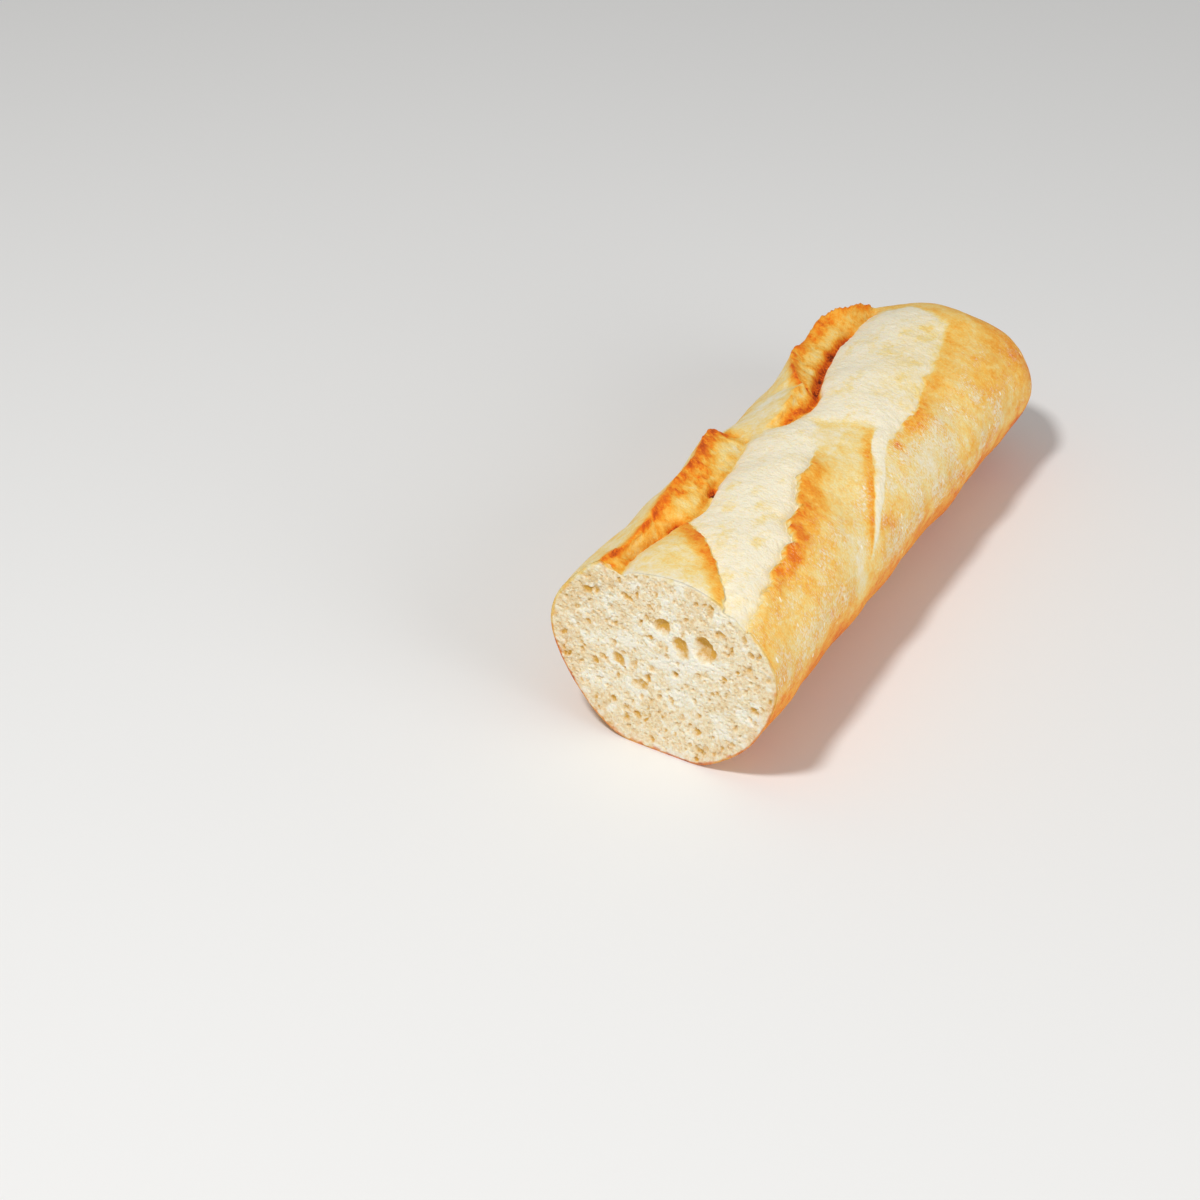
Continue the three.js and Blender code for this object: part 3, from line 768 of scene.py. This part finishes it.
def baked_colour(tree, bake, colours):
    group = add(tree, "ShaderNodeGroup", node_tree=baked_colour_group(colours))
    tree.links.new(bake, group.inputs["Bake"])
    return group.outputs["Color"]


def new_material(name):
    material = bpy.data.materials.new(name)
    material.use_nodes = True
    return material, material.node_tree


def principled(material, **inputs):
    """The material's shader, with constants set on its own sockets."""
    shader = material.node_tree.nodes["Principled BSDF"]
    for name, value in inputs.items():
        socket = shader.inputs[name.replace("_", " ")]
        if isinstance(value, bpy.types.NodeSocket):
            material.node_tree.links.new(value, socket)
        else:
            socket.default_value = value


def crust_material(colours):
    material, tree = new_material("Baguette crust")
    chart = add(tree, "ShaderNodeUVMap", uv_map="chart").outputs[0]
    place = add(tree, "ShaderNodeTexCoord").outputs["Object"]
    bake, opened, torn, fleck = (attribute(tree, name) for name in ("bake", "opened", "torn", "fleck"))
    rugged = maths(tree, "SUBTRACT", 1.0, opened, clamp=True)
    plain = maths(tree, "SUBTRACT", 1.0, torn, clamp=True)
    dull = maths(tree, "MAXIMUM", opened, torn)
    gritty = times(tree, maths(tree, "SUBTRACT", bake, 0.3), 1.6, clamp=True)
    mottle = noise_texture(tree, place, 260, 5, 0.62)
    medium = noise_texture(tree, place, 700)
    grit = noise_texture(tree, place, 950)
    grain = noise_texture(tree, place, 1700)
    cluster = noise_texture(tree, chart, 32)
    fibre = noise_texture(tree, chart, 190, 4, 0.65, 0.5)
    strokes = noise_texture(tree, chart, 280, 3, 0.6, 0.33, 0.12)

    shift = times(tree, swing(tree, mottle, 0.42), added(tree, 0.35, rugged))
    streak = times(tree, swing(tree, fibre, 0.3), plain)
    speckle = added(tree, swing(tree, grain, 0.26), times(tree, swing(tree, grit, 0.6), gritty))
    total = added(tree, bake, shift, swing(tree, medium, 0.26), streak, speckle)
    darkest = maths(tree, "MAXIMUM", 0.72, added(tree, bake, 0.05))
    total = maths(tree, "MAXIMUM", maths(tree, "MINIMUM", total, darkest), 0.0, clamp=True)

    dense = added(tree, strokes, times(tree, fleck, 0.1), swing(tree, cluster, 0.35))
    specks = times(tree, remapped(tree, dense, 0.56, 0.65), maths(tree, "POWER", fleck, 0.5))
    base = mixed(tree, times(tree, specks, 0.75), baked_colour(tree, total, colours), srgb(colours.flour))

    height = added(tree, times(tree, grain, 0.25), times(tree, mottle, 0.5), times(tree, specks, 0.25),
                   times(tree, times(tree, fibre, 0.7), plain), times(tree, grit, added(tree, 0.35, dull)))
    bump = add(tree, "ShaderNodeBump", {"Strength": 0.7, "Distance": 0.00045, "Height": height})
    rough = added(tree, 0.48, times(tree, dull, 0.34), times(tree, mottle, 0.12))
    principled(material, Base_Color=base, Roughness=rough, Normal=bump.outputs[0],
               Specular_IOR_Level=0.25, Subsurface_Weight=0.1,
               Subsurface_Radius=(1.0, 0.6, 0.3), Subsurface_Scale=0.001)
    return material


def inner_wall(skin, smooth, along_y):
    """Rings of the crust's inner wall: the first follows the skin, the others the smooth loaf."""
    rings = []
    for y, share in INNER_WALL:
        nearest = np.abs(along_y[:, 0] - y).argmin()
        ring = (smooth if rings else skin)[nearest].copy()
        ring[:, (0, 2)] = CUT_MIDDLE + (ring[:, (0, 2)] - CUT_MIDDLE) * share
        ring[:, 1] += max(0, y - along_y[nearest, 0])
        rings.append(ring)
    return rings


def crust_piece(settings, colours):
    """The crust: its outer surface, a rim at the cut and a plain inner wall, as one closed shell."""
    skin, smooth, along_y, s, field = loaf_skin(settings)
    rings, columns = s.shape
    tip = skew(np.array([[[0.0, LENGTH, POLE * WAIST * HEEL_HEIGHT]]]))[0]
    inner = inner_wall(skin, smooth, along_y)
    inner_tip = np.array([[0.0, INNER_TIP, CUT_MIDDLE[1]]])
    points = np.concatenate([skin.reshape(-1, 3), tip, np.concatenate(inner), inner_tip])
    pole = rings * columns
    last = pole - columns
    first_inner = pole + 1
    inner_pole = first_inner + len(inner) * columns
    last_inner = inner_pole - columns
    column = np.arange(columns)
    pairs = list(zip(column, (column + 1) % columns))
    faces = [tuple(face) for face in grid_faces(rings, columns)]
    faces += [(last + a, pole, last + b) for a, b in pairs]
    faces += [(b, first_inner + b, first_inner + a, a) for a, b in pairs]
    faces += [tuple(face[::-1]) for face in grid_faces(len(inner), columns, first_inner)]
    faces += [(last_inner + b, inner_pole, last_inner + a) for a, b in pairs]
    mesh = shell_mesh("crust", points, faces, crust_material(colours), slice(pole, pole + columns))
    for name in ("bake", "opened", "torn", "fleck"):
        set_values(mesh, name, field[name], field[name][-1, -1])
    set_chart(mesh, along_y, s)
    piece = new_piece("crust", mesh)
    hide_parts(NODE)
    return skin[0], smooth[0], field["bake"][0]


def set_chart(mesh, along_y, s):
    """Unrolled crust as a UV map, one unit to 100 mm; the last column's faces run on past the base."""
    chart = np.zeros((len(mesh.vertices), 2))
    chart[:s.size] = np.stack([along_y.reshape(-1), s.reshape(-1)], axis=-1) / 100
    corners = np.empty(len(mesh.loops), np.int32)
    mesh.loops.foreach_get("vertex_index", corners)
    uv = chart[corners]
    starts = np.empty(len(mesh.polygons), np.int32)
    mesh.polygons.foreach_get("loop_start", starts)
    rings, columns = s.shape
    for start in starts[columns - 1:(rings - 1) * columns:columns]:
        uv[start + 2:start + 4, 1] = uv[start:start + 2, 1] - 0.01
    mesh.uv_layers.new(name="chart").data.foreach_set("uv", uv.astype(np.float32).reshape(-1))


def scattered_pores(settings, edge):
    """Small pores spread over the cut, clear of the crust and the large pores."""
    random = np.random.RandomState(11)
    placed = []
    while len(placed) < settings.small_pores:
        angle = random.uniform(0, 2 * math.pi)
        reach = edge(np.array([angle]))[0]
        spread = math.sqrt(random.uniform()) * (1 - 2.0 / reach)
        x, z = CUT_MIDDLE + spread * reach * np.array([math.cos(angle), math.sin(angle)])
        width = random.uniform(0.35, 1.15) ** 1.5
        height = width * random.uniform(0.7, 1.5)
        if all(math.hypot(x - p[0], z - p[1]) > 0.9 * (width + max(p[2], p[3])) for p in PORES):
            placed.append((x, z, width, height, 0.9 * width))
    return placed


def crumb_depth(x, z, inset, pores, settings):
    """Depth of the cut crumb below the cut's plane, in mm, and how golden or, below 0, white it is; the
    golden is painted shade in the pores and bubbles.
    """
    flat = flat_points(x, z)
    wx = x + 0.55 * fractal(flat, 2.4, 51)
    wz = z + 0.55 * fractal(flat, 2.4, 52)
    depth = np.zeros_like(x)
    golden = np.zeros_like(x)
    polished = np.zeros_like(x)
    white = smoothstep(0.1, 0.8, fractal(flat, 4.0, 59))
    for px, pz, width, height in FLUFFS:
        white = np.maximum(white, 1.4 * bell(wx, wz, (px, pz), width, height))
    for number, (px, pz, width, height, deep) in enumerate(pores):
        turn = 0.6 * math.sin(7.3 * number)
        u = ((wx - px) * math.cos(turn) + (wz - pz) * math.sin(turn)) / width
        v = ((wz - pz) * math.cos(turn) - (wx - px) * math.sin(turn)) / height
        near = u * u + v * v < 1
        into = 1 - (u * u + v * v)[near]
        depth[near] = np.maximum(depth[near], deep * into * (1 + 0.5 * (u + v)[near]))
        # Painted shade: a pore is painted golden by its full depth, deeper than the modelled pore, and most
        # on its upper right side.
        side = np.clip(0.95 + 0.7 * u + 0.5 * v, 0, 1.8)[near]
        golden[near] = np.maximum(golden[near], min(1.1, 0.35 + 0.35 * deep) * into ** 0.4 * side)
        if width > LARGE_PORE:
            apart = np.hypot(u, v)
            # Whiter ring round the lower-left side of a large pore: whiter fluff, and painted light on that
            # lit side of the pore.
            fluff_and_lit_halo = np.exp(-((apart - 1.2) / 0.35) ** 2) * smoothstep(0.4, -0.6, u + v)
            white = np.maximum(white, 2 * fluff_and_lit_halo)
            polished = np.maximum(polished, smoothstep(1.15, 0.8, apart))
    depth *= settings.pore_depth
    size = settings.bubble_size
    warped = np.stack([wx, wz * 0.9, 0.6 * depth], axis=-1)
    nearly = np.stack([x + 0.2 * (wx - x), z + 0.2 * (wz - z), 0.6 * depth], axis=-1)
    calm = smoothstep(0.3, 2.0, inset)
    dense = np.clip(0.8 + 0.6 * fractal(flat, 8.0, 54), 0.2, 1.3)
    coarse = bubbles(warped, 2.6 * size, 80, 0.5, 3) ** 1.5 * calm
    pits = bubbles(nearly, 1.5 * size, 60, 0.48, 2) * dense
    fine = bubbles(nearly, 0.75 * size, 70, 0.5, 1.5)
    texture = (0.8 * coarse + 0.5 * pits + 0.45 * fine) * (1 - 0.8 * polished)
    grains = fractal(flat, 0.8, 53, 2) * (1 - 0.7 * polished)
    depth += settings.bubble_depth * (0.45 + 0.55 * calm) * texture
    depth += 0.18 * grains + 0.15 * fractal(flat, 4.0, 55) - settings.rise
    # Painted shade: the crumb is painted golden in its pores and in its deeper bubbles, and whiter on its
    # fluffs.
    pore_shade_and_fluff = golden + (0.9 * coarse ** 1.5 + 0.7 * pits ** 1.5 + 0.3 * fine) * (1 - polished)
    pore_shade_and_fluff += 0.25 * grains - 0.5 * white - 0.3 * smoothstep(0.0, 0.6, fractal(flat, 1.2, 61, 2))
    pore_shade_and_fluff += 0.1 * smoothstep(0, -24, x) + 0.05
    return depth * smoothstep(0, 0.7, inset), np.clip(pore_shade_and_fluff, -1, 1)


def crumb_material(colours):
    material, tree = new_material("Baguette crumb")
    place = add(tree, "ShaderNodeTexCoord").outputs["Object"]
    pore_shade_and_fluff, rind, bake = (attribute(tree, name) for name in ("pore_shade_and_fluff", "rind", "bake"))
    cloud = noise_texture(tree, place, 170)
    speck = noise_texture(tree, place, 900, 3, 0.65)
    grain = noise_texture(tree, place, 2400, 3, 0.65)
    # Painted shade: where the crumb's pores and bubbles are painted as shaded it takes the pore colour, and
    # where it is whiter the fluff colour.
    shade_and_fluff_mix = added(tree, pore_shade_and_fluff, swing(tree, speck, 1.1, 0.46), swing(tree, cloud, -0.7),
                 swing(tree, grain, 0.9))
    base = mixed(tree, times(tree, shade_and_fluff_mix, -2.6, clamp=True), srgb(colours.crumb), srgb(colours.fluff))
    base = mixed(tree, times(tree, shade_and_fluff_mix, 1.1, clamp=True), base, srgb(colours.pore))
    base = mixed(tree, rind, base, baked_colour(tree, bake, colours))
    height = added(tree, times(tree, grain, 0.5), speck)
    bump = add(tree, "ShaderNodeBump", {"Strength": 0.6, "Distance": 0.00045, "Height": height})
    principled(material, Base_Color=base, Roughness=0.85, Normal=bump.outputs[0],
               Specular_IOR_Level=0.25, Subsurface_Weight=0.25, Subsurface_Radius=(1.0, 0.75, 0.5),
               Subsurface_Scale=0.0015)
    return material


def disc_grid(count):
    """A square grid bent into a disc: each point's share of the way out, and its angle."""
    u, v = np.meshgrid(np.linspace(-1, 1, count + 1), np.linspace(-1, 1, count + 1), indexing="ij")
    wide = np.abs(u) >= np.abs(v)
    radius = np.where(wide, u, v)
    safe = np.where(radius == 0, 1, radius)
    turn = np.where(wide, math.pi / 4 * v / safe, math.pi / 2 - math.pi / 4 * u / safe)
    return np.abs(radius), np.arctan2(radius * np.sin(turn), radius * np.cos(turn))


def border_of_grid(size):
    """Numbers of a square grid's border points, in order round it."""
    grid = np.arange(size * size).reshape(size, size)
    sides = [grid[0, :-1], grid[:-1, -1], grid[-1, :0:-1], grid[:0:-1, 0]]
    return np.concatenate(sides).tolist()


def crumb_piece(settings, colours, rim, smooth_rim, rim_bake):
    """The cut crumb: a plug in the crust's mouth whose front is cut through bubbles and pores."""
    spokes = smooth_rim[:, (0, 2)] - CUT_MIDDLE
    angles = np.arctan2(spokes[:, 1], spokes[:, 0])
    order = np.argsort(angles)

    def round_cut(values, angle):
        return np.interp(angle, angles[order], values[order], period=2 * math.pi)

    def edge(angle):
        return round_cut(np.hypot(spokes[:, 0], spokes[:, 1]), angle)

    count = settings.cells
    share, angle = disc_grid(count)
    reach = edge(angle)
    pull = share ** 9
    x = share * reach * np.cos(angle) + pull * round_cut(rim[:, 0] - smooth_rim[:, 0], angle)
    z = share * reach * np.sin(angle) + pull * round_cut(rim[:, 2] - smooth_rim[:, 2], angle)
    x, z = CUT_MIDDLE[0] + x, CUT_MIDDLE[1] + z
    inset = (1 - share) * reach
    depth, pore_shade_and_fluff = crumb_depth(x, z, inset, PORES + scattered_pores(settings, edge), settings)
    wear = 0.5 + 0.5 * noise(np.stack([x, z, inset], axis=-1), 1.4, 57)
    low = np.maximum(1 - smoothstep(0.08, 0.3, z / CUT_HEIGHT), smoothstep(-18, -30, x))
    width = settings.crust_width * (1 + 0.8 * low)
    rind = 0.85 * (1 - smoothstep(0.4, 1.2, inset / width * (1.5 - wear)))
    rind = np.maximum(rind, 0.4 * wear * np.exp(-inset / 1.6))
    bake = np.clip(round_cut(rim_bake, angle) + 0.3 * (wear - 0.4) + 0.08 * low, 0, 1)

    front = np.stack([x, depth, z], axis=-1).reshape(-1, 3)
    border = border_of_grid(count + 1)
    back = front[border].copy()
    back[:, 1] = PLUG_DEPTH
    back[:, (0, 2)] = CUT_MIDDLE + (back[:, (0, 2)] - CUT_MIDDLE) * PLUG_TAPER
    behind = [[CUT_MIDDLE[0], PLUG_DEPTH, CUT_MIDDLE[1]]]
    row, column = np.meshgrid(np.arange(count), np.arange(count), indexing="ij")
    corner = (row * (count + 1) + column).reshape(-1)
    quads = np.stack([corner, corner + count + 1, corner + count + 2, corner + 1], axis=-1)
    faces = [tuple(face) for face in quads]
    first_back, last = len(front), len(front) + len(back)
    for i, point in enumerate(border):
        j = (i + 1) % len(border)
        faces.append((point, first_back + i, first_back + j, border[j]))
        faces.append((first_back + i, last, first_back + j))
    mesh = shell_mesh("crumb", skew(np.concatenate([front, back, behind])), faces,
                      crumb_material(colours), slice(len(quads), None))
    for name, values in (("pore_shade_and_fluff", pore_shade_and_fluff), ("rind", rind), ("bake", bake)):
        set_values(mesh, name, values, 0)
    new_piece("crumb", mesh)


def blister_material(colours):
    material, tree = new_material("Baguette blisters")
    place = add(tree, "ShaderNodeTexCoord").outputs["Object"]
    cloud = noise_texture(tree, place, 300, 2, 0.5)
    base = mixed(tree, remapped(tree, cloud, 0.4, 0.62), srgb(colours.straw), srgb(colours.flour))
    principled(material, Base_Color=base, Roughness=0.55, Specular_IOR_Level=0.35)
    return material


def blister_tree():
    """Geometry nodes that strew small flattened blisters over the crust, and their inputs."""
    tree = bpy.data.node_groups.new("Blisters", "GeometryNodeTree")
    sockets = {name: tree.interface.new_socket(name, in_out="INPUT", socket_type=kind).identifier
               for name, kind in (("Geometry", "NodeSocketGeometry"), ("Density", "NodeSocketFloat"),
                                  ("Size", "NodeSocketFloat"), ("Material", "NodeSocketMaterial"))}
    tree.interface.new_socket("Geometry", in_out="OUTPUT", socket_type="NodeSocketGeometry")
    given, out = tree.nodes.new("NodeGroupInput").outputs, tree.nodes.new("NodeGroupOutput").inputs
    flecks = add(tree, "GeometryNodeInputNamedAttribute", {"Name": "fleck"}, data_type="FLOAT")
    spread = add(tree, "GeometryNodeDistributePointsOnFaces",
                 {"Mesh": given["Geometry"], "Distance Min": LEAST_APART, "Seed": 5,
                  "Density Max": given["Density"], "Density Factor": flecks.outputs["Attribute"]},
                 distribute_method="POISSON")
    ball = add(tree, "GeometryNodeMeshIcoSphere", {"Radius": 0.5, "Subdivisions": 2})
    long = add(tree, "FunctionNodeRandomValue", {2: 0.5, 3: 1.5, "Seed": 7}, data_type="FLOAT")
    wide = add(tree, "FunctionNodeRandomValue", {2: 0.3, 3: 0.6, "Seed": 9}, data_type="FLOAT")
    size = times(tree, long.outputs[1], given["Size"])
    scale = add(tree, "ShaderNodeCombineXYZ",
                {0: size, 1: times(tree, size, wide.outputs[1]), 2: times(tree, size, 0.14)})
    lengthwise = add(tree, "ShaderNodeVectorMath", {0: spread.outputs["Normal"], 1: (0.35, 1, 0)},
                     operation="CROSS_PRODUCT")
    turned = add(tree, "FunctionNodeAlignRotationToVector",
                 {"Rotation": spread.outputs["Rotation"], "Vector": lengthwise.outputs[0]},
                 axis="X", pivot_axis="Z")
    placed = add(tree, "GeometryNodeInstanceOnPoints",
                 {"Points": spread.outputs["Points"], "Instance": ball.outputs["Mesh"],
                  "Rotation": turned.outputs[0], "Scale": scale.outputs[0]})
    real = add(tree, "GeometryNodeRealizeInstances", {"Geometry": placed.outputs[0]})
    smooth = add(tree, "GeometryNodeSetShadeSmooth", {"Geometry": real.outputs[0]})
    finish = add(tree, "GeometryNodeSetMaterial",
                 {"Geometry": smooth.outputs[0], "Material": given["Material"]})
    tree.links.new(finish.outputs[0], out["Geometry"])
    return tree, sockets


def blister_piece(context, settings, colours):
    """The blisters, strewn over a copy of the crust and turned into a plain mesh."""
    source = new_object("blisters", context.scene.objects["crust"].data.copy())
    modifier = source.modifiers.new("Blisters", "NODES")
    modifier.node_group, sockets = blister_tree()
    modifier[sockets["Density"]] = settings.blisters / FLECKED_AREA
    modifier[sockets["Size"]] = settings.blister_size * MM
    modifier[sockets["Material"]] = blister_material(colours)
    context.view_layer.update()
    evaluated = source.evaluated_get(context.evaluated_depsgraph_get())
    mesh = bpy.data.meshes.new_from_object(evaluated)
    bpy.data.objects.remove(source)
    new_piece("blisters", mesh)


def look_at(thing, place, aim):
    """Places a thing and points it, both in millimetres."""
    place, aim = Vector(place) * MM, Vector(aim) * MM
    thing.location = place
    thing.rotation_euler = (aim - place).to_track_quat("-Z", "Y").to_euler()


def area_light(name, direction, size, power):
    light = bpy.data.lights.new(name, "AREA")
    light.shape = "DISK"
    light.size = size * MM
    light.energy = power
    light.color = WARM_WHITE
    look_at(new_object(name, light), Vector(direction).normalized() * LAMP_DISTANCE, LAMP_AIM)


def build_stage(scene, settings, colours):
    """The floor, two soft lights, light from all round, and the camera."""
    reach = FLOOR_REACH * MM
    mesh = bpy.data.meshes.new("floor")
    mesh.from_pydata([(-reach, -reach, 0), (reach, -reach, 0), (reach, reach, 0), (-reach, reach, 0)],
                     [], [(0, 1, 2, 3)])
    material, _ = new_material("Pale floor")
    principled(material, Base_Color=srgb(colours.floor), Roughness=0.8, Specular_IOR_Level=0.2)
    mesh.materials.append(material)
    floor = new_object("floor", mesh)

    area_light("Key", KEY_FROM, KEY_SIZE, settings.key_power)
    area_light("Fill", FILL_FROM, FILL_SIZE, settings.fill_power)
    world = bpy.data.worlds.new("Studio")
    world.use_nodes = True
    background = world.node_tree.nodes["Background"]
    background.inputs["Color"].default_value = SKY_WHITE
    background.inputs["Strength"].default_value = settings.sky
    scene.world = world

    camera = bpy.data.cameras.new("Camera")
    camera.lens = settings.lens
    camera.sensor_width = 36
    camera.clip_end = 20
    scene.camera = new_object("Camera", camera)
    look_at(scene.camera, CAMERA_PLACE, CAMERA_AIM)
    scene.view_settings.view_transform = "Standard"


class BAGUETTE_OT_crust(Operator):
    """Build the crust with its slashes and ears, and the crumb of the cut"""

    bl_idname = "baguette.crust"
    bl_label = "Crust and crumb"

    def execute(self, context):
        scene = context.scene
        rims = crust_piece(scene.baguette_loaf, scene.baguette_colours)
        crumb_piece(scene.baguette_crumb, scene.baguette_colours, *rims)
        return {"FINISHED"}


class BAGUETTE_OT_blisters(Operator):
    """Strew small pale blisters over the side of the crust"""

    bl_idname = "baguette.blisters"
    bl_label = "Blisters"

    def execute(self, context):
        scene = context.scene
        blister_piece(context, scene.baguette_loaf, scene.baguette_colours)
        return {"FINISHED"}


class BAGUETTE_OT_stage(Operator):
    """Lay the floor, hang the lights and place the camera"""

    bl_idname = "baguette.stage"
    bl_label = "Stage"

    def execute(self, context):
        scene = context.scene
        build_stage(scene, scene.baguette_stage, scene.baguette_colours)
        return {"FINISHED"}


class BAGUETTE_PT_panel(Panel):
    """Lists the steps that build the half baguette"""

    bl_idname = "BAGUETTE_PT_panel"
    bl_label = "Half baguette"
    bl_space_type = "VIEW_3D"
    bl_region_type = "UI"
    bl_category = "Baguette"

    def draw(self, context):
        for step in STEPS:
            self.layout.operator(step.bl_idname)
        for group in SETTINGS:
            box = self.layout.box()
            settings = getattr(context.scene, group)
            for name in settings.bl_rna.properties.keys():
                if name not in ("rna_type", "name"):
                    box.prop(settings, name)


STEPS = (BAGUETTE_OT_crust, BAGUETTE_OT_blisters, BAGUETTE_OT_stage)
SETTINGS = {
    "baguette_loaf": LoafSettings,
    "baguette_crumb": CrumbSettings,
    "baguette_colours": ColourSettings,
    "baguette_stage": StageSettings,
}


def register():
    for kind in (*SETTINGS.values(), *STEPS, BAGUETTE_PT_panel):
        bpy.utils.register_class(kind)
    for name, kind in SETTINGS.items():
        setattr(bpy.types.Scene, name, PointerProperty(type=kind))


def unregister():
    for name in SETTINGS:
        delattr(bpy.types.Scene, name)
    for kind in (BAGUETTE_PT_panel, *STEPS, *SETTINGS.values()):
        bpy.utils.unregister_class(kind)


def main():
    register()
    bpy.ops.baguette.crust()
    bpy.ops.baguette.blisters()
    bpy.ops.baguette.stage()


if __name__ == "__main__":
    main()
